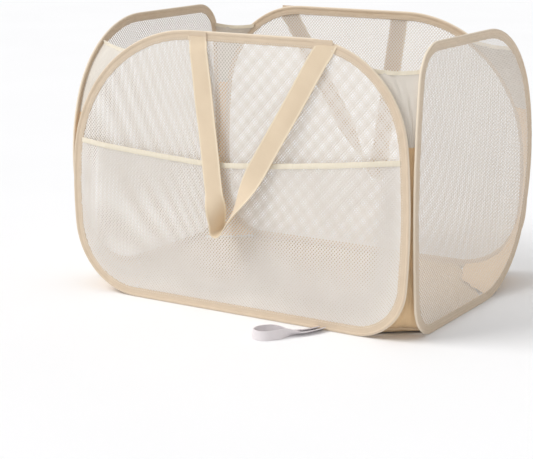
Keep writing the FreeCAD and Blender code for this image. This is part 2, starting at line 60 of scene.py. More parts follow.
# ---------------------------------------------------------------------------------------------------------
# The camera. It looks down at the bag's front right corner from over two metres away, through a long lens,
# and is aimed a little to the left of the bag's middle and below it.
# ---------------------------------------------------------------------------------------------------------
CAMERA_TURN = math.radians(30.2)
CAMERA_RISE = math.radians(10.6)
CAMERA_DISTANCE = 2.2
CAMERA_LENS = 102.2
AIM_LEFT = 0.054
AIM_BELOW = 0.111
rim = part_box("front_binding")[1].z
bag_middle = Vector((0, 0, rim / 2))
to_right = Vector((math.cos(CAMERA_TURN), math.sin(CAMERA_TURN), 0))
level_to_camera = Vector((to_right.y, -to_right.x, 0))
to_camera = level_to_camera * math.cos(CAMERA_RISE) + Vector((0, 0, math.sin(CAMERA_RISE)))
to_top = to_camera.cross(to_right)
stands_at = bag_middle + to_camera * CAMERA_DISTANCE
aim = bag_middle - to_right * AIM_LEFT - to_top * AIM_BELOW
bpy.ops.object.camera_add(location=stands_at, rotation=(aim - stands_at).to_track_quat("-Z", "Y").to_euler())
camera = bpy.context.active_object
camera.data.lens = CAMERA_LENS
bpy.context.scene.camera = camera
bpy.context.scene.view_settings.view_transform = "Standard"


# ---------------------------------------------------------------------------------------------------------
# The storage elastic. A white knitted band, sewn by both ends to the foot of the front binding, that goes
# round the folded bag. It lies on the floor in a loop, flat where its ends run side by side and on its edge
# round the far bend.
# ---------------------------------------------------------------------------------------------------------
class Value:
    """A number, colour or direction in a material, for sums written as ordinary Python."""

    def __init__(self, socket):
        self.socket = socket

    def node(self, kind, settings=(), inputs=(), output=0):
        """Add a node of any kind: its settings, then the values or links of its inputs."""
        tree = self.socket.id_data
        made = tree.nodes.new(kind)
        for name, setting in dict(settings).items():
            if name == "stops":
                for k, (place, colour) in enumerate(setting):
                    stop = made.color_ramp.elements[k] if k < 2 else made.color_ramp.elements.new(place)
                    stop.position = place
                    stop.color = (*colour, 1)
            else:
                setattr(made, name, setting)
        for name, value in dict(inputs).items():
            if isinstance(value, Value):
                tree.links.new(value.socket, made.inputs[name])
            elif isinstance(value, tuple) and made.inputs[name].type == "RGBA":
                made.inputs[name].default_value = (*value, 1)
            else:
                made.inputs[name].default_value = value
        return Value(made.outputs[output])

    def math(self, operation, *inputs):
        return self.node("ShaderNodeMath", {"operation": operation}, enumerate(inputs))

    def __add__(self, other):
        return self.math("ADD", self, other)

    def __sub__(self, other):
        return self.math("SUBTRACT", self, other)

    def __mul__(self, other):
        return self.math("MULTIPLY", self, other)

    def __rsub__(self, other):
        return self.math("SUBTRACT", other, self)

    __radd__ = __add__
    __rmul__ = __mul__

    def wave(self, length):
        """A wave between 0 and 1 that repeats after a length."""
        return self.math("SINE", self * (2 * math.pi / length)) * 0.5 + 0.5

    def band(self, low, high, soft):
        """1 between two values and 0 outside them, with soft edges."""
        rises = self.node("ShaderNodeMapRange", (), {0: self, 1: low - soft, 2: low + soft})
        falls = self.node("ShaderNodeMapRange", (), {0: self, 1: high - soft, 2: high + soft})
        return rises - falls

    def mix(self, low, high):
        """The first colour where this is 0 and the second where it is 1."""
        return self.node("ShaderNodeMix", {"data_type": "RGBA"}, {0: self, 6: low, 7: high}, output=2)

    def cloudy(self, size, detail=2.0):
        """Soft noise between 0 and 1, whose blots are about this size."""
        return self.node("ShaderNodeTexNoise", (), {"Vector": self, "Scale": 1 / size, "Detail": detail})


class Finish:
    """A material under construction: places to draw a pattern with, and what it is painted with."""

    def __init__(self, name, roughness, sheen=0.0):
        self.material = bpy.data.materials.new(name)
        self.material.use_nodes = True
        self.shader = self.material.node_tree.nodes["Principled BSDF"]
        self.shader.inputs["Roughness"].default_value = roughness
        self.shader.inputs["Sheen Weight"].default_value = sheen
        self.any = Value(self.shader.outputs[0])
        self.place = self.any.node("ShaderNodeTexCoord", output="Object")

    def along_and_across(self):
        """How far along and across its own length a piece's surface lies, in metres."""
        weave = self.any.node("ShaderNodeUVMap", {"uv_map": "Weave"})
        return [weave.node("ShaderNodeSeparateXYZ", (), {0: weave}, output=k) for k in (0, 1)]

    def paint(self, colour, relief=None, depth=0.0001):
        links = self.material.node_tree.links
        links.new(colour.socket, self.shader.inputs["Base Color"])
        if relief is not None:
            bump = relief.node("ShaderNodeBump", (), {"Height": relief, "Distance": depth, "Strength": 1.0})
            links.new(bump.socket, self.shader.inputs["Normal"])
        return self.material


def colour(red, green, blue):
    """A colour as it looks, from 0 to 255, as the light that a shader wants."""
    return tuple(((c / 255 + 0.055) / 1.055) ** 2.4 for c in (red, green, blue))


def cloth_strip(name, columns, rows, length, width, shape):
    """A grid of cloth that shape(u, v) puts in its place, u and v from 0 to 1, with its weave in metres."""
    bpy.ops.mesh.primitive_grid_add(x_subdivisions=columns, y_subdivisions=rows, size=1, location=(0, 0, 0))
    piece = bpy.context.active_object
    piece.name = name
    for vertex in piece.data.vertices:
        vertex.co = shape(vertex.co.x + 0.5, vertex.co.y + 0.5)
    weave = piece.data.uv_layers[0]
    weave.name = "Weave"
    for corner in weave.uv:
        corner.vector = (corner.vector.x * length, corner.vector.y * width)
    return piece


def modify(piece, kind, **settings):
    """Add a modifier to a piece and apply it."""
    bpy.context.view_layer.objects.active = piece
    bpy.ops.object.modifier_add(type=kind)
    modifier = piece.modifiers[-1]
    for name, value in settings.items():
        setattr(modifier, name, value)
    bpy.ops.object.modifier_apply(modifier=modifier.name)


def complete(piece, material, angle=math.radians(50)):
    """Give a piece its material and smooth faces."""
    piece.data.materials.clear()
    piece.data.materials.append(material)
    bpy.ops.object.select_all(action="DESELECT")
    piece.select_set(True)
    bpy.context.view_layer.objects.active = piece
    bpy.ops.object.shade_smooth_by_angle(angle=angle)
    piece.select_set(False)
    return piece


def smooth_step(x):
    x = min(max(x, 0.0), 1.0)
    return x * x * (3 - 2 * x)


def elastic_finish():
    made = Finish("white_elastic", 0.75, sheen=0.3)
    along, across = made.along_and_across()
    ribs = across.wave(0.0014)
    picks = along.wave(0.0009)
    knit = ribs * 0.7 + picks * 0.3
    soil = made.place.cloudy(0.03)
    bright = knit * 0.5 + soil * 0.5
    return made.paint(bright.mix(colour(218, 209, 211), colour(248, 243, 244)), knit, 0.0003)


tab_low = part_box("storage_elastic_tab")[0]
band_low, band_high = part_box("storage_elastic")
BAND_WIDTH = band_high.z - band_low.z
BAND_THICKNESS = 0.0012
BAND_LENGTH = 0.213
EXIT_Y = tab_low.y
ELASTIC_ROUTE = (
    (0.137, EXIT_Y),
    (0.133, -0.213),
    (0.118, -0.229),
    (0.097, -0.240),
    (0.081, -0.256),
    (0.082, -0.277),
    (0.102, -0.281),
    (0.116, -0.263),
    (0.124, -0.241),
    (0.140, -0.221),
    (0.146, EXIT_Y),
)
band_middle = (band_low.z + band_high.z) / 2
route = bpy.data.objects.new("elastic_route", bpy.data.curves.new("elastic_route", "CURVE"))
bpy.context.scene.collection.objects.link(route)
route.data.dimensions = "3D"
spline = route.data.splines.new("NURBS")
spline.points.add(len(ELASTIC_ROUTE) - 1)
for point, (x, y) in zip(spline.points, ELASTIC_ROUTE):
    point.co = (x, y, band_middle, 1)
spline.order_u = 3
spline.use_endpoint_u = True
band_line = [vertex.co.copy() for vertex in bpy.data.meshes.new_from_object(route).vertices]
bpy.data.objects.remove(route)


def walker(line):
    """A function that gives the point and the direction at a share of the way along a line of points."""
    line = np.array(line)
    steps = np.linalg.norm(np.diff(line, axis=0), axis=1)
    reach = np.concatenate([[0], np.cumsum(steps)])

    def walk(share):
        ahead, behind = [
            Vector([np.interp(at * reach[-1], reach, line[:, k]) for k in range(3)])
            for at in (min(share + 0.004, 1), max(share - 0.004, 0))
        ]
        here = Vector([np.interp(share * reach[-1], reach, line[:, k]) for k in range(3)])
        return here, (ahead - behind).normalized()

    return walk


FLAT_TO, UPRIGHT_FROM = 0.036, 0.07
FLAT_TILT = math.radians(62)
FAR_LEAN = math.radians(9)
walk_band = walker(band_line)


def elastic_shape(u, v):
    here, forwards = walk_band(u)
    from_end = min(u, 1 - u) * BAND_LENGTH
    lies = 1 - smooth_step((from_end - FLAT_TO) / (UPRIGHT_FROM - FLAT_TO))
    tilt = FLAT_TILT * lies * (1 if u < 0.5 else -1) + FAR_LEAN * (1 - lies) * smooth_step(from_end / 0.08)
    level = Vector((0, 0, 1)).cross(forwards)
    rise = Vector((0, 0, math.cos(tilt))) + level * math.sin(tilt)
    drop = (1 - math.cos(tilt)) * BAND_WIDTH / 2
    return here + rise * ((v - 0.5) * BAND_WIDTH) - Vector((0, 0, drop))


elastic = cloth_strip("storage_elastic_band", 150, 6, BAND_LENGTH, BAND_WIDTH, elastic_shape)
modify(elastic, "SOLIDIFY", thickness=BAND_THICKNESS, offset=0)
complete(elastic, elastic_finish())
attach(elastic, "front_panel")
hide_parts("storage_elastic", "storage_elastic_tab")


# ---------------------------------------------------------------------------------------------------------
# The four bindings. Beige polyester tape, folded over the spring wire and the net's edge and stitched along
# its inner edge. The wire makes a round bead at the outer edge, and the flat part puckers round the bends.
# ---------------------------------------------------------------------------------------------------------
PANEL_TURNS = {"front": 0, "right": 90, "back": 180, "left": 270}
LOOP_POINTS = 432


def panel_place(panel):
    """From a panel's own frame, where X runs right seen from outside and -Y points out, to the bag's."""
    low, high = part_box(f"{panel}_net")
    turn = Matrix.Rotation(math.radians(PANEL_TURNS[panel]), 4, "Z")
    outwards = turn @ Vector((0, -1, 0))
    return Matrix.Translation(outwards * ((low + high) / 2).dot(outwards)) @ turn


panel_places = {panel: panel_place(panel) for panel in PANEL_TURNS}


class Loop:
    """A wire loop's outer edge in its panel's plane, as evenly spaced points with their directions."""

    def __init__(self, panel):
        back = panel_places[panel].inverted()
        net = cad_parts[f"{panel}_net"].data.vertices
        corners = {(round(p.x, 5), round(p.z, 5)) for p in (back @ vertex.co for vertex in net)}
        ring = np.array(sorted(corners, key=lambda c: math.atan2(c[1] - rim / 2, c[0])))
        ring = np.vstack([ring, ring[:1]])
        reach = np.concatenate([[0], np.cumsum(np.linalg.norm(np.diff(ring, axis=0), axis=1))])
        even = np.linspace(0, reach[-1], LOOP_POINTS, endpoint=False)
        points = np.stack([np.interp(even, reach, ring[:, k]) for k in (0, 1)], axis=1)
        for _ in range(3):
            points = (np.roll(points, 1, 0) + 2 * points + np.roll(points, -1, 0)) / 4
        self.along = np.roll(points, -1, 0) - np.roll(points, 1, 0)
        self.along /= np.linalg.norm(self.along, axis=1)[:, None]
        self.inwards = np.stack([-self.along[:, 1], self.along[:, 0]], axis=1)
        net_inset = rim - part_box(f"{panel}_net")[1].z
        self.points = points - self.inwards * net_inset
        self.step = np.linalg.norm(np.roll(self.points, -1, 0) - self.points, axis=1).mean()
        self.length = self.step * LOOP_POINTS

    def locate(self, places, every=1):
        """How far along the loop, and how far inside its outer edge, places in the panel's plane lie."""
        away = places[:, None, :] - self.points[None, ::every, :]
        inside = (away * self.inwards[None, ::every, :]).sum(2)
        nearest = inside.argmin(1)
        rows = np.arange(len(places))
        ahead = (away[rows, nearest] * self.along[::every][nearest]).sum(1)
        return nearest * every * self.step + ahead, inside[rows, nearest]

    def side_at(self, side, level, inset):
        """How far out the loop stands at a height, on its right (1) or left (-1) side."""
        ring = self.points + self.inwards * inset
        one_side = ring[ring[:, 0] * side > 0]
        order = one_side[:, 1].argsort()
        return float(np.interp(level, one_side[order, 1], one_side[order, 0]))


def tape_finish():
    made = Finish("beige_tape", 0.8, sheen=0.25)
    along, across = made.along_and_across()
    twill = (along + across * 2.0).wave(0.0011)
    ribs = across.wave(0.0007)
    weave = twill * 0.6 + ribs * 0.4
    mottle = made.place.cloudy(0.022, 4.0)
    streaks = made.any.node(
        "ShaderNodeTexNoise",
        (),
        {
            "Vector": made.any.node("ShaderNodeCombineXYZ", (), {0: along * 60, 1: across * 600, 2: 0.0}),
            "Scale": 1.0,
            "Detail": 2.0,
        },
    )
    tone = weave * 0.3 + mottle * 0.4 + streaks * 0.3
    cloth = tone.mix(colour(206, 184, 157), colour(233, 214, 190))
    dashes = along.wave(0.0034).band(0.22, 2.0, 0.12)
    stitches = across.band(0.0107, 0.0115, 0.0002) * dashes
    # a darker band along the fold between the bead and the flat part: the crease's relief, and painted shade
    # in the crease
    crease = across.band(0.0049, 0.0057, 0.0005)
    cloth_with_painted_crease_shade = (crease * 0.2).mix(cloth, colour(180, 154, 122))
    # a lighter band along the outer edge: a painted highlight on the wire's bead
    painted_bead_highlight = (1 - across.band(0.0010, 1.0, 0.0007)) * 0.6
    bead = painted_bead_highlight.mix(cloth_with_painted_crease_shade, colour(246, 235, 216))
    thread = (stitches * 0.7).mix(bead, colour(246, 234, 216))
    return made.paint(thread, weave * 0.4 + stitches * 1.2 - crease * 0.3 + mottle, 0.0004)


beige_tape = tape_finish()
loops = {panel: Loop(panel) for panel in PANEL_TURNS}

# half of the folded tape's section: steps inwards, each with how far it rises off the panel's plane
TAPE_SECTION = (
    (0.00025, 0.00090),
    (0.00055, 0.00070),
    (0.00090, 0.00045),
    (0.00100, 0.00010),
    (0.00100, -0.00020),
    (0.00090, -0.00045),
    (0.00080, -0.00030),
    (0.00160, -0.00008),
    (0.00200, 0.00003),
    (0.00160, -0.00005),
    (0.00050, -0.00025),
    (0.00050, 0.00025),
    (0.00110, -0.00005),
    (0.00040, -0.00035),
    (0.00010, -0.00079),
)


def pucker(along, across, seed):
    """How far a folded tape's flat part is pushed out of its plane by its puckers and creases."""
    slack = smooth_step((across - 0.003) / 0.005)
    slow = noise.noise(Vector((along * 38, across * 60, seed))) * 0.0006
    creases = noise.noise(Vector((along * 150 + across * 160, across * 40, seed + 5))) * 0.0005
    bead = noise.noise(Vector((along * 90, 0, seed + 9))) * 0.00025
    return slack * (slow + creases) + bead


def tape_loop(panel, seed):
    loop = loops[panel]
    bpy.ops.mesh.primitive_circle_add(vertices=LOOP_POINTS, radius=1, fill_type="NGON", location=(0, 0, 0))
    piece = bpy.context.active_object
    piece.name = f"{panel}_binding_tape"
    for vertex, (x, z) in zip(piece.data.vertices, loop.points):
        vertex.co = (x, 0, z)
    piece.data.update()
    bpy.ops.object.mode_set(mode="EDIT")
    bpy.ops.mesh.select_all(action="SELECT")
    if piece.data.polygons[0].normal.y > 0:
        bpy.ops.mesh.flip_normals()
    for step, rise in TAPE_SECTION:
        bpy.ops.mesh.inset(thickness=step, depth=rise)
    bpy.ops.mesh.delete(type="ONLY_FACE")
    bpy.ops.object.mode_set(mode="OBJECT")
    modify(piece, "MIRROR", use_axis=(False, True, False), merge_threshold=0.00002)

    mesh = piece.data
    places = np.array([vertex.co for vertex in mesh.vertices])
    along, across = loop.locate(places[:, [0, 2]])
    for vertex, a, c in zip(mesh.vertices, along, across):
        vertex.co.y += pucker(a, c, seed)
        inner = smooth_step((c - 0.010) / 0.003) * 0.0006 * noise.noise(Vector((a * 120, 0, seed + 3)))
        nearest = int(a / loop.step) % LOOP_POINTS
        vertex.co.x += loop.inwards[nearest, 0] * inner
        vertex.co.z = max(vertex.co.z + loop.inwards[nearest, 1] * inner, 0.0)
    while mesh.uv_layers:
        mesh.uv_layers.remove(mesh.uv_layers[0])
    weave = mesh.uv_layers.new(name="Weave")
    for face in mesh.polygons:
        corners = [along[i] for i in face.vertices]
        for k, i in zip(face.loop_indices, face.vertices):
            wraps = max(corners) - along[i] > loop.length / 2
            weave.uv[k].vector = (along[i] + loop.length * wraps, across[i])
    mesh.transform(panel_places[panel])
    complete(piece, beige_tape)
    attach(piece, f"{panel}_panel")
    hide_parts(f"{panel}_binding")
    return piece


for seed, panel in enumerate(PANEL_TURNS):
    tape_loop(panel, seed * 20)


# ---------------------------------------------------------------------------------------------------------
# The four nets. Warp-knitted polyester net with a diamond mesh, stretched flat in its loop, its raw edge
# inside the binding. One mesh of the net is modelled and repeated, and the cells outside the loop go.
# ---------------------------------------------------------------------------------------------------------
CELL = 0.0036
HOLE_RADIUS = 0.00134
KNOT_RISE = 0.00035
MESH_STRETCH = (0.955, 1.05)
NET_EDGE = 0.0078


def net_finish():
    made = Finish("white_net", 0.7, sheen=0.2)
    fibres = made.place.cloudy(0.0006, 3.0)
    blots = made.place.cloudy(0.05)
    tone = fibres * 0.6 + blots * 0.4
    return made.paint(tone.mix(colour(222, 213, 204), colour(250, 246, 240)), fibres, 0.0002)


white_net = net_finish()


def net_lattice(name, size, turn, shift):
    """A square sheet of net, with its meshes on the diagonal, in the XZ plane."""
    bpy.ops.mesh.primitive_circle_add(vertices=8, radius=HOLE_RADIUS, fill_type="NOTHING", location=(0, 0, 0))
    piece = bpy.context.active_object
    piece.name = name
    bpy.ops.object.mode_set(mode="EDIT")
    bpy.ops.mesh.select_all(action="SELECT")
    bpy.ops.transform.rotate(value=math.pi / 8, orient_axis="Z", center_override=(0, 0, 0))
    bpy.ops.mesh.extrude_edges_move()
    bpy.ops.transform.resize(value=(2, 2, 2), center_override=(0, 0, 0))
    bpy.ops.object.mode_set(mode="OBJECT")
    for vertex in piece.data.vertices[8:]:
        across, up = [math.copysign(CELL / 2, value) for value in vertex.co.xy]
        vertex.co = (across, up, KNOT_RISE)
    bpy.ops.object.mode_set(mode="EDIT")
    bpy.ops.mesh.select_all(action="SELECT")
    bpy.ops.mesh.remove_doubles(threshold=CELL / 100)
    bpy.ops.mesh.normals_make_consistent(inside=False)
    bpy.ops.object.mode_set(mode="OBJECT")
    count = int(size / CELL) + 1
    for offset in ((1, 0, 0), (0, 1, 0)):
        modify(
            piece,
            "ARRAY",
            count=count,
            relative_offset_displace=offset,
            use_merge_vertices=True,
            merge_threshold=CELL / 50,
        )
    middle = Matrix.Translation((-(count - 1) * CELL / 2 + shift, -(count - 1) * CELL / 2, 0))
    stand = Matrix.Rotation(math.pi / 2, 4, "X")
    spin = Matrix.Diagonal((*MESH_STRETCH, 1, 1)) @ Matrix.Rotation(math.pi / 4 + turn, 4, "Z")
    piece.data.transform(Matrix.Translation((0, 0, rim / 2)) @ stand @ spin @ middle)
    return piece


def trim(piece, keep):
    """Delete the points of a piece that keep, one truth value a point, leaves out."""
    piece.data.vertices.foreach_set("select", ~keep)
    piece.data.edges.foreach_set("select", [False] * len(piece.data.edges))
    piece.data.polygons.foreach_set("select", [False] * len(piece.data.polygons))
    bpy.context.view_layer.objects.active = piece
    bpy.ops.object.mode_set(mode="EDIT")
    bpy.ops.mesh.select_mode(type="VERT")
    bpy.ops.mesh.delete(type="VERT")
    bpy.ops.object.mode_set(mode="OBJECT")


def all_places(piece):
    places = np.zeros(len(piece.data.vertices) * 3)
    piece.data.vertices.foreach_get("co", places)
    return places.reshape(-1, 3)


def bowed_out(places, inset, bow, seed):
    """A stretched net's points, bowed out gently with slow slack waves."""
    for k, place in enumerate(places):
        held = 1 - math.exp(-max(inset[k] - NET_EDGE, 0) / 0.05)
        wave = noise.noise(Vector((place[0] * 9, place[2] * 7, seed))) * 0.5 + 0.5
        places[k, 1] -= bow * held * wave
    return places


def net_panel(panel, seed):
    loop = loops[panel]
    low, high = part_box(f"{panel}_net")
    wide = max(high.x - low.x, high.y - low.y)
    size = (wide + rim) / math.sqrt(2) / min(MESH_STRETCH)
    piece = net_lattice(f"{panel}_net_mesh", size, 0.0, seed * 0.0004)
    places = all_places(piece)
    inset = np.concatenate([loop.locate(part[:, [0, 2]], 4)[1] for part in np.array_split(places, 20)])
    trim(piece, inset > NET_EDGE)
    places = bowed_out(all_places(piece), inset[inset > NET_EDGE], 0.003, seed)
    piece.data.vertices.foreach_set("co", places.ravel())
    piece.data.transform(panel_places[panel])
    complete(piece, white_net, math.pi)
    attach(piece, f"{panel}_panel")
    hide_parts(f"{panel}_net")
    return piece


for seed, panel in enumerate(PANEL_TURNS):
    net_panel(panel, seed)


# ---------------------------------------------------------------------------------------------------------
# The pocket. A second layer of net on the lower half of the front panel, sewn in with the binding, with a
# cream elastic tape along its mouth that sags in the middle and runs up to the right.
# ---------------------------------------------------------------------------------------------------------
pocket_low, pocket_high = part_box("pocket_net")
hem_low, hem_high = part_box("pocket_hem")
HEM_WIDTH = hem_high.z - hem_low.z
HEM_THICKNESS = 0.0011
POCKET_EDGE = 0.0120
front_loop = loops["front"]
POCKET_STANDS_OFF = pocket_high.y - pocket_low.y
MOUTH_ABOVE_CAD = (
    (-0.25, 0.004),
    (-0.14, -0.003),
    (-0.02, -0.009),
    (0.08, 0.000),
    (0.16, 0.009),
    (0.25, 0.021),
)


def mouth_level(x):
    """The height of the pocket's mouth, at the middle of its hem."""
    across, above = zip(*MOUTH_ABOVE_CAD)
    smooth = [np.interp(x + near, across, above) for near in np.linspace(-0.035, 0.035, 9)]
    return (hem_low.z + hem_high.z) / 2 + np.mean(smooth, axis=0)


def pocket_off(x, z, inset):
    """How far the pocket stands off the front net: not at all at the binding, most at the mouth's middle."""
    held = smooth_step((inset - POCKET_EDGE) / 0.05)
    height = smooth_step((z - pocket_low.z) / (hem_high.z - pocket_low.z))
    ripple = noise.noise(Vector((x * 14, z * 9, 31))) * 0.0016
    return 0.0007 + held * (POCKET_STANDS_OFF * (0.30 + 0.55 * height) + ripple - 0.0007)


pocket_size = (hem_high.x - hem_low.x + rim) / math.sqrt(2) / min(MESH_STRETCH)
pocket = net_lattice("pocket_net_mesh", pocket_size, 0.0, 0.0013)
places = all_places(pocket)
inset = np.concatenate([front_loop.locate(part[:, [0, 2]], 4)[1] for part in np.array_split(places, 20)])
below = places[:, 2] < mouth_level(places[:, 0])
kept = (inset > POCKET_EDGE) & below
trim(pocket, kept)
places = all_places(pocket)
for k, deep in enumerate(inset[kept]):
    places[k, 1] -= pocket_off(places[k, 0], places[k, 2], deep)
pocket.data.vertices.foreach_set("co", places.ravel())
pocket.data.transform(panel_places["front"])
complete(pocket, white_net, math.pi)
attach(pocket, "front_panel")
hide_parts("pocket_net")


def hem_finish():
    made = Finish("cream_elastic", 0.75, sheen=0.3)
    along, across = made.along_and_across()
    ribs = across.wave(0.0012)
    gathers = made.any.node("ShaderNodeCombineXYZ", (), {0: along * 400, 1: across * 60, 2: 0.0}).cloudy(1.0)
    knit = ribs * 0.5 + gathers * 0.5
    return made.paint(knit.mix(colour(224, 212, 188), colour(246, 238, 220)), knit, 0.0004)


cream_elastic = hem_finish()
HEM_TUCK = 0.0122
hem_start = front_loop.side_at(-1, mouth_level(-0.25), HEM_TUCK)
hem_end = front_loop.side_at(1, mouth_level(0.25), HEM_TUCK)
hem_length = hem_end - hem_start


def pocket_hem_shape(u, v):
    x = hem_start + u * hem_length
    z = mouth_level(x) + (v - 0.5) * HEM_WIDTH + noise.noise(Vector((x * 60, 0, 2))) * 0.0004
    inset = max(min(x - hem_start, hem_end - x) + HEM_TUCK, HEM_TUCK)
    flutter = noise.noise(Vector((x * 110, v * 0.8, 7))) * 0.0006
    free = smooth_step((inset - HEM_TUCK) / 0.012)
    off = pocket_off(x, mouth_level(x), inset) + free * (0.0012 + flutter + math.sin(math.pi * v) * 0.0004)
    return Vector((x, -off, z))


hem = cloth_strip("pocket_hem_tape", 220, 6, hem_length, HEM_WIDTH, pocket_hem_shape)
modify(hem, "SOLIDIFY", thickness=HEM_THICKNESS, offset=0)
hem.data.transform(panel_places["front"])
complete(hem, cream_elastic)
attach(hem, "front_panel")
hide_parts("pocket_hem")


# ---------------------------------------------------------------------------------------------------------
# The two handles. Woven webbing sewn by its ends to the rim of a long panel. It hangs in a V, and turns on
# its edge where it goes round the lowest point.
# ---------------------------------------------------------------------------------------------------------
def webbing_finish():
    made = Finish("beige_webbing", 0.78, sheen=0.3)
    along, across = made.along_and_across()
    rows = along.wave(0.0016)
    cords = across.wave(0.0013)
    slant = (along + across).wave(0.0026)
    weave = rows * 0.35 + cords * 0.35 + slant * 0.3
    mottle = made.place.cloudy(0.03, 3.0)
    tone = weave * 0.35 + mottle * 0.65
    cloth = tone.mix(colour(212, 190, 161), colour(231, 212, 184))
    selvedge = 1 - across.band(0.0022, 0.0258, 0.0006)
    edged = (selvedge * 0.6).mix(cloth, colour(240, 226, 200))
    return made.paint(edged, weave + selvedge * 0.8, 0.0003)


beige_webbing = webbing_finish()
strap_low, strap_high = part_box("front_handle_strap")
left_end_low, left_end_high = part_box("front_handle_left_end")
right_end_low, right_end_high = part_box("front_handle_right_end")
STRAP_WIDTH = left_end_high.x - left_end_low.x
STRAP_THICKNESS = 0.0014
LEFT_END = (left_end_low.x + left_end_high.x) / 2
RIGHT_END = (right_end_low.x + right_end_high.x) / 2
BEND_LEVEL = strap_high.z
BOTTOM = strap_low.z
strap_foot = [v.co.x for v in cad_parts["front_handle_strap"].data.vertices if v.co.z < BOTTOM + 0.002]
LOWEST = (min(strap_foot) + max(strap_foot)) / 2
TURN_RADIUS = 0.0050
STRAP_TOP_OFF = 0.0016
STRAP_TUCK = 0.007
STRAP_SPARE = 0.020
STRAP_FOOT_OFF = 0.0245
STRAP_CLEARS_TAPE = 0.0024
STRAP_HANG = 1.15
TURN_STARTS_ABOVE = 0.004
TURN_FROM, TURN_TO = math.radians(30), math.radians(32)
TWIST_ENDS = 0.97
EDGE_ON = math.radians(72)
LEFT_TWIST_FROM = 0.78
RIGHT_TWIST_FROM = 0.62


def strap_line():
    """A handle's middle line in its panel's frame: down the left leg, round the turn, up the right leg."""
    foot = Vector((LOWEST, 0, BOTTOM + TURN_RADIUS))
    turn_start = foot + Vector((-TURN_RADIUS, 0, TURN_STARTS_ABOVE))
    left, right = Vector((LEFT_END, 0, BEND_LEVEL)), Vector((RIGHT_END, 0, BEND_LEVEL))
    left += (left - turn_start).normalized() * STRAP_SPARE
    right += (right - foot).normalized() * STRAP_SPARE
    line = [left.lerp(turn_start, k / 60) for k in range(61)]
    for k in range(1, 14):
        angle = math.pi + (math.pi + TURN_TO - TURN_FROM) * k / 14
        line.append(foot + Vector((math.cos(angle), 0, math.sin(angle))) * TURN_RADIUS)
    start = line[-1]
    line += [start.lerp(right, k / 60) for k in range(1, 61)]
    for point in line:
        down = max(BEND_LEVEL - point.z, 0) / (BEND_LEVEL - BOTTOM)
        clears = smooth_step(down / 0.05) * STRAP_CLEARS_TAPE
        point.y = -(STRAP_TOP_OFF + clears + (STRAP_FOOT_OFF - STRAP_TOP_OFF - clears) * down**STRAP_HANG)
    return line


walk_strap = walker(strap_line())
strap_length = sum((b - a).length for a, b in zip(strap_line(), strap_line()[1:]))


def strap_shape(u, v):
    here, forwards = walk_strap(u)
    down = 1 - (here.z - BOTTOM) / (BEND_LEVEL - BOTTOM)
    twist_from = LEFT_TWIST_FROM if u < 0.5 else RIGHT_TWIST_FROM
    twist = EDGE_ON * smooth_step((down - twist_from) / (TWIST_ENDS - twist_from))
    flat = Vector((-forwards.z, 0, forwards.x)).normalized()
    edge = flat * math.cos(twist) + Vector((0, 1, 0)) * math.sin(twist)
    ripple = noise.noise(Vector((u * 9, v * 1.5, 4))) * 0.0012 * smooth_step(u * 8) * smooth_step((1 - u) * 8)
    out = Vector((0, -1, 0)) * (ripple + 0.0007 * math.sin(math.pi * v))
    return here + edge * ((v - 0.5) * STRAP_WIDTH) + out


for panel in ("front", "back"):
    strap = cloth_strip(f"{panel}_handle_webbing", 220, 8, strap_length, STRAP_WIDTH, strap_shape)
    bpy.ops.object.mode_set(mode="EDIT")
    bpy.ops.mesh.select_all(action="SELECT")
    bpy.ops.mesh.bisect(plane_co=(0, 0, BEND_LEVEL + STRAP_TUCK), plane_no=(0, 0, 1), clear_outer=True)
    bpy.ops.object.mode_set(mode="OBJECT")
    modify(strap, "SOLIDIFY", thickness=STRAP_THICKNESS, offset=0)
    strap.data.transform(panel_places[panel])
    complete(strap, beige_webbing)
    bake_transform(strap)
    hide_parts(f"{panel}_handle_strap")


# ---------------------------------------------------------------------------------------------------------
# The sewn ends of the handles. Each is a small patch of the binding's tape over the webbing's last
# centimetre, laid flat on the binding and a little raised over the bead of the wire.
# ---------------------------------------------------------------------------------------------------------
END_THICKNESS = 0.0009


def end_shape(low, high, seed):
    def shape(u, v):
        x = low.x + u * (high.x - low.x)
        z = low.z - 0.002 + v * (high.z - low.z + 0.004)
        rim_inset = rim - z
        bead = 0.0023 * smooth_step((0.0065 - rim_inset) / 0.004)
        flat = 0.0013 + noise.noise(Vector((x * 160, z * 160, seed))) * 0.0003
        return Vector((x, -(flat + bead * 0.5 + 0.0008), z))

    return shape


for panel in ("front", "back"):
    for side, low, high in (("left", left_end_low, left_end_high), ("right", right_end_low, right_end_high)):
        shape = end_shape(low, high, LEFT_END)
        name = f"{panel}_handle_{side}_patch"
        patch = cloth_strip(name, 16, 8, high.x - low.x, high.z - low.z, shape)
        modify(patch, "SOLIDIFY", thickness=END_THICKNESS, offset=0)
        patch.data.transform(panel_places[panel])
        complete(patch, beige_tape)
        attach(patch, f"{panel}_panel")
        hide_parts(f"{panel}_handle_{side}_end")


# ---------------------------------------------------------------------------------------------------------
# The corner cloths. At each corner a strip of cloth joins the two loops: a beige gusset at the foot, a
# narrow tape up the straight part, and a thin off-white gusset in the V at the top, with an elastic hem.
# ---------------------------------------------------------------------------------------------------------
def sheer_finish():
    made = Finish("sheer_cloth", 0.7, sheen=0.3)
    threads = made.place.cloudy(0.0009, 2.0)
    blots = made.place.cloudy(0.04, 3.0)
    tone = threads * 0.4 + blots * 0.6
    material = made.paint(tone.mix(colour(205, 196, 184), colour(240, 234, 224)), threads, 0.0002)
    made.shader.inputs["Alpha"].default_value = 0.86
    return material


def gusset_finish():
    made = Finish("beige_cloth", 0.75, sheen=0.2)
    along, across = made.along_and_across()
    weave = along.wave(0.0012) * 0.5 + across.wave(0.0012) * 0.5
    blots = made.place.cloudy(0.03, 3.0)
    tone = weave * 0.3 + blots * 0.7
    return made.paint(tone.mix(colour(214, 178, 132), colour(244, 216, 174)), weave, 0.0002)


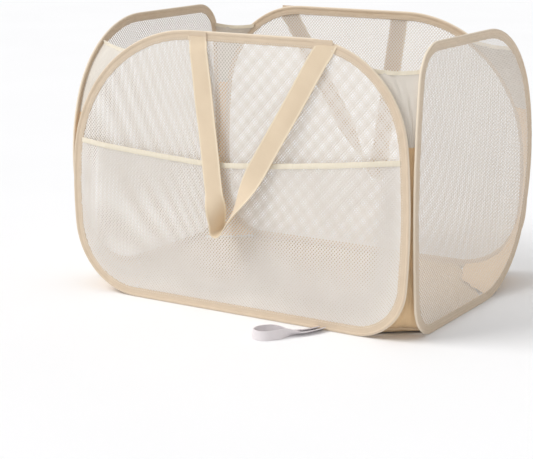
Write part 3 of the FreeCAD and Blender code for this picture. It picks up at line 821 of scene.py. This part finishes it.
sheer_cloth = sheer_finish()
beige_cloth = gusset_finish()
CORNERS = {
    # the long panel and its side, and the short panel and its side: 1 is right and -1 left, seen from outside
    "front_right": ("front", 1, "right", -1),
    "front_left": ("front", -1, "left", 1),
    "back_left": ("back", 1, "left", -1),
    "back_right": ("back", -1, "right", 1),
}
SEAM_INSET = 0.0065
SEAM_BEHIND = 0.0026
SEAM_LAP = 0.0007
CLOTH_THICKNESS = 0.0005
GUSSET_HEM_THICKNESS = 0.0016


def seam_point(panel, side, level):
    return panel_places[panel] @ Vector((loops[panel].side_at(side, level, SEAM_INSET), SEAM_BEHIND, level))


def corner_inwards(corner):
    long_panel, _, short_panel, _ = CORNERS[corner]
    to_corner = panel_places[long_panel].translation + panel_places[short_panel].translation
    return -to_corner.normalized()


def hem_line(corner, level, u):
    """The top edge of an upper gusset, which its hem runs along: slung a little in and down."""
    long_panel, long_side, short_panel, short_side = CORNERS[corner]
    start, end = seam_point(long_panel, long_side, level), seam_point(short_panel, short_side, level)
    sag = math.sin(math.pi * u)
    inwards = corner_inwards(corner) * sag * 0.02 * (end - start).length
    return start.lerp(end, u) + inwards - Vector((0, 0, sag * 0.003))


def corner_shape(corner, low, high, slack, seed, hemmed):
    long_panel, long_side, short_panel, short_side = CORNERS[corner]
    inwards = corner_inwards(corner)

    def shape(u, v):
        level = low + v * (high - low)
        start = seam_point(long_panel, long_side, level)
        end = seam_point(short_panel, short_side, level)
        span = (end - start).length
        belly = math.sin(math.pi * u) * slack * span
        free = math.sin(math.pi * u)
        folds = noise.noise(Vector((u * 5 + v * 1.2, v * 2.2, seed))) * free * span * 0.10
        creases = noise.noise(Vector((u * 14 - v * 4, v * 5, seed + 3))) * free * span * 0.025
        place = start.lerp(end, u) + inwards * (belly + folds + creases)
        if not hemmed:
            return place
        return place.lerp(hem_line(corner, high, u), smooth_step((v - 0.75) / 0.25))

    return shape


def join_corner(piece, corner):
    """Bake a corner's cloth into place, or, at the corner left open, put it on the left panel with its own
    mesh.
    """
    long_panel, long_side, short_panel, short_side = CORNERS[corner]
    level = piece.data.vertices[0].co.z
    if corner == "back_left":
        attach(piece, "left_panel")
        seam = seam_point("left", -1, level)
        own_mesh(piece)
        return
    start = seam_point(long_panel, long_side, level)
    end = seam_point(short_panel, short_side, level)
    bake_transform(piece)


def corner_piece(corner, kind, finish, rows, slack, seed):
    low, high = [corner_end.z for corner_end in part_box(f"{corner}_{kind}")]
    low, high = low - SEAM_LAP, high + SEAM_LAP
    long_panel, long_side, short_panel, short_side = CORNERS[corner]
    seams = [
        [seam_point(panel, side, level) for level in np.linspace(low, high, 13)]
        for panel, side in ((long_panel, long_side), (short_panel, short_side))
    ]
    width = max((end - start).length for start, end in zip(*seams))
    length = sum((b - a).length for a, b in zip(seams[0], seams[0][1:]))
    shape = corner_shape(corner, low, high, slack, seed, kind == "upper_gusset")
    piece = cloth_strip(f"{corner}_{kind}_cloth", 24, rows, width, length, shape)
    modify(piece, "SOLIDIFY", thickness=CLOTH_THICKNESS, offset=0)
    complete(piece, finish)
    join_corner(piece, corner)
    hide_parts(f"{corner}_{kind}")


def gusset_hem_piece(corner, seed):
    low, high = [corner_end.z for corner_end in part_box(f"{corner}_gusset_hem")]

    def shape(u, v):
        wave = noise.noise(Vector((u * 8, v, seed))) * math.sin(math.pi * u) * 0.0012
        rise = Vector((0, 0, (v - 0.2) * (high - low)))
        return hem_line(corner, low, u) + rise + corner_inwards(corner) * wave

    width = (hem_line(corner, low, 1) - hem_line(corner, low, 0)).length
    piece = cloth_strip(f"{corner}_gusset_hem_tape", 40, 4, width, high - low, shape)
    modify(piece, "SOLIDIFY", thickness=GUSSET_HEM_THICKNESS, offset=0)
    complete(piece, cream_elastic)
    join_corner(piece, corner)
    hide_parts(f"{corner}_gusset_hem")


for seed, corner in enumerate(CORNERS):
    corner_piece(corner, "lower_gusset", beige_cloth, 18, 0.10, seed * 7)
    corner_piece(corner, "tape", beige_cloth, 30, 0.05, seed * 7 + 2)
    corner_piece(corner, "upper_gusset", sheer_cloth, 24, 0.06, seed * 7 + 4)
    gusset_hem_piece(corner, seed * 7 + 6)


# ---------------------------------------------------------------------------------------------------------
# The cloth bottom. A sheet of coated beige cloth sewn between the straight feet of the four loops, slack
# enough to ripple.
# ---------------------------------------------------------------------------------------------------------
def bottom_finish():
    made = Finish("bottom_cloth", 0.65, sheen=0.1)
    along, across = made.along_and_across()
    weave = along.wave(0.0014) * 0.5 + across.wave(0.0014) * 0.5
    blots = made.place.cloudy(0.06, 3.0)
    tone = weave * 0.25 + blots * 0.75
    return made.paint(tone.mix(colour(190, 163, 127), colour(222, 198, 163)), weave, 0.0002)


BOTTOM_THICKNESS = 0.0008
floor_low, floor_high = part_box("cloth_bottom")
floor_middle = (floor_low + floor_high) / 2
bottom_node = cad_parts["cloth_bottom"].data
bottom_rim = sorted(
    (vertex.co.copy() for vertex in bottom_node.vertices if vertex.co.z > floor_middle.z),
    key=lambda corner: math.atan2(corner.y, corner.x),
)
bottom_edges = [
    (start, Vector((end.y - start.y, start.x - end.x, 0)).normalized())
    for start, end in zip(bottom_rim, bottom_rim[1:] + bottom_rim[:1])
    if (end - start).xy.length > 0.001
]


def bottom_shape(u, v):
    place = floor_low + Vector((u * (floor_high.x - floor_low.x), v * (floor_high.y - floor_low.y), 0))
    inset = min((start - place).dot(outwards) for start, outwards in bottom_edges)
    held = smooth_step(inset / 0.04)
    ripple = noise.noise(place * 9) * 0.0022 + noise.noise(place * 27) * 0.0008
    place.z = floor_middle.z + held * (ripple - 0.0004)
    return place


bottom = cloth_strip(
    "cloth_bottom_sheet", 72, 52, floor_high.x - floor_low.x, floor_high.y - floor_low.y, bottom_shape
)
bpy.ops.object.mode_set(mode="EDIT")
for start, outwards in bottom_edges:
    bpy.ops.mesh.select_all(action="SELECT")
    bpy.ops.mesh.bisect(plane_co=start, plane_no=outwards, clear_outer=True)
bpy.ops.object.mode_set(mode="OBJECT")
modify(bottom, "SOLIDIFY", thickness=BOTTOM_THICKNESS, offset=0)
complete(bottom, bottom_finish())
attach(bottom, "front_panel")
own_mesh(bottom)
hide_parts("cloth_bottom")


# ---------------------------------------------------------------------------------------------------------
# The wires and their crimp sleeves. Blued spring steel and soft aluminium, hidden inside the bindings. They
# keep their own shapes and get a drawn metal's finish.
# ---------------------------------------------------------------------------------------------------------
def metal_finish(name, dark, light, roughness):
    made = Finish(name, roughness)
    made.shader.inputs["Metallic"].default_value = 1.0
    drawn = made.place.cloudy(0.002, 3.0)
    return made.paint(drawn.mix(dark, light), drawn, 0.00005)


spring_steel = metal_finish("spring_steel", colour(120, 122, 130), colour(186, 188, 194), 0.35)
crimp_metal = metal_finish("crimp_metal", colour(170, 172, 176), colour(214, 216, 220), 0.45)
for panel in PANEL_TURNS:
    for node, metal in ((f"{panel}_wire_loop", spring_steel), (f"{panel}_wire_sleeve", crimp_metal)):
        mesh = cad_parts[node].data
        mesh.materials.clear()
        mesh.materials.append(metal)


# ---------------------------------------------------------------------------------------------------------
# The floor and the light. A plain pale floor under an even white sky, with one broad soft light from above
# and to the front left.
# ---------------------------------------------------------------------------------------------------------
def floor_finish():
    made = Finish("pale_floor", 0.9)
    return made.paint(made.place.cloudy(0.4).mix(colour(244, 244, 245), colour(248, 248, 249)))


FLOOR_SIZE = 40
SKY_STRENGTH = 0.64
bpy.ops.mesh.primitive_plane_add(size=FLOOR_SIZE, location=(0, 0, 0))
ground = bpy.context.active_object
ground.name = "floor"
complete(ground, floor_finish())

world = bpy.data.worlds.new("studio")
bpy.context.scene.world = world
world.use_nodes = True
world.node_tree.nodes["Background"].inputs["Color"].default_value = (1.0, 1.0, 1.0, 1)
world.node_tree.nodes["Background"].inputs["Strength"].default_value = SKY_STRENGTH


def soft_light(comes_from, strength, spread):
    turn = Vector(comes_from).to_track_quat("Z", "Y").to_euler()
    bpy.ops.object.light_add(type="SUN", location=comes_from, rotation=turn)
    light = bpy.context.active_object.data
    light.energy = strength
    light.angle = math.radians(spread)


soft_light((-1.1, -0.9, 1.5), 1.9, 35)
